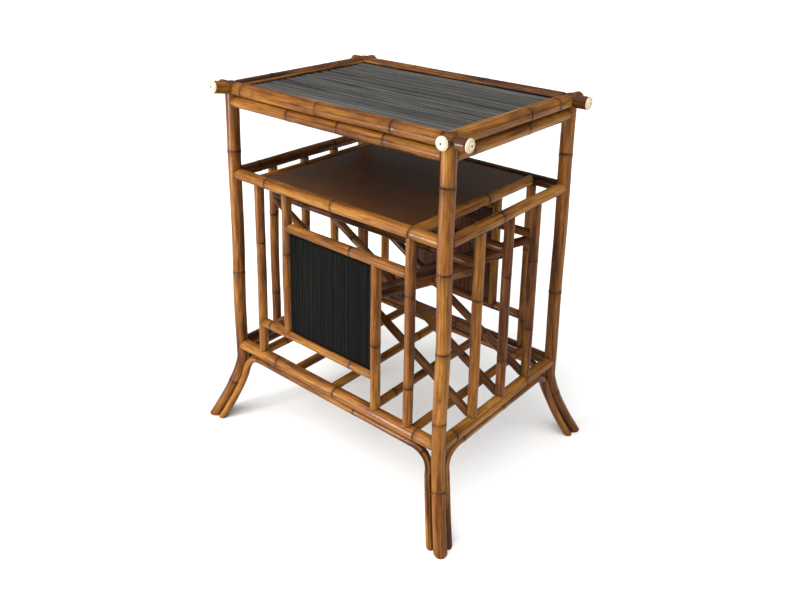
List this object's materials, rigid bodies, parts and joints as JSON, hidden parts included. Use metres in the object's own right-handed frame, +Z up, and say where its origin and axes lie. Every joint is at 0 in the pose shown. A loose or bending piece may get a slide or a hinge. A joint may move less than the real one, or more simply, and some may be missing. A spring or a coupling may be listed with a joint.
{
  "type": "photo album stand",
  "caption": "Bamboo album stand: splayed posts, recessed reed top, shelf, fretwork sides with reeded panels, crossed dividers and bent cane braces.",
  "frame": {"origin": "on the floor under the middle of the stand", "axes": "+Z up, X along the long sides, -Y towards the front long side"},
  "size_m": [0.6326, 0.4858, 0.7044],
  "materials": {
    "bamboo": "varnished bamboo cane, glossy, with dark node rings",
    "dark_bamboo": "darker varnished bamboo cane",
    "charcoal_reed": "split reed strips stained charcoal, satin",
    "black_reed": "fine black reeding, satin",
    "shelf_brown": "dark brown board, satin varnish",
    "bone_cap": "ivory-coloured turned cap with a dark pin"
  },
  "bodies": {
    "root": {"back_inner_stile_a": "bamboo", "back_inner_stile_b": "bamboo", "back_lower_crossbar": "bamboo", "back_outer_stile_a": "bamboo", "back_outer_stile_b": "bamboo", "back_panel": "black_reed", "back_upper_crossbar": "bamboo", "bottom_rail_back": "bamboo", "bottom_rail_front": "bamboo", "bottom_rail_left": "bamboo", "bottom_rail_right": "bamboo", "brace_back": "bamboo", "brace_front": "bamboo", "brace_left": "bamboo", "brace_right": "bamboo", "divider_falling_1": "dark_bamboo", "divider_falling_2": "dark_bamboo", "divider_falling_3": "dark_bamboo", "divider_rail_1": "dark_bamboo", "divider_rail_2": "dark_bamboo", "divider_rail_3": "dark_bamboo", "divider_rising_1": "dark_bamboo", "divider_rising_2": "dark_bamboo", "divider_rising_3": "dark_bamboo", "front_inner_stile_a": "bamboo", "front_inner_stile_b": "bamboo", "front_lower_crossbar": "bamboo", "front_outer_stile_a": "bamboo", "front_outer_stile_b": "bamboo", "front_panel": "black_reed", "front_upper_crossbar": "bamboo", "post_back_left": "bamboo", "post_back_right": "bamboo", "post_front_left": "bamboo", "post_front_right": "bamboo", "shelf_bearer_left": "bamboo", "shelf_bearer_right": "bamboo", "shelf_board": "shelf_brown", "shelf_rail_back": "bamboo", "shelf_rail_front": "bamboo", "shelf_rail_left": "bamboo", "shelf_rail_right": "bamboo", "slat_1": "bamboo", "slat_2": "bamboo", "slat_3": "bamboo", "slat_4": "bamboo", "slat_5": "bamboo", "spindle_left_1": "bamboo", "spindle_left_2": "bamboo", "spindle_left_3": "bamboo", "spindle_right_1": "bamboo", "spindle_right_2": "bamboo", "spindle_right_3": "bamboo", "top_board": "charcoal_reed", "top_moulding": "bamboo", "top_rail_back": "bamboo", "top_rail_front": "bamboo", "top_rail_left": "bamboo", "top_rail_right": "bamboo"}
  },
  "joints": []
}
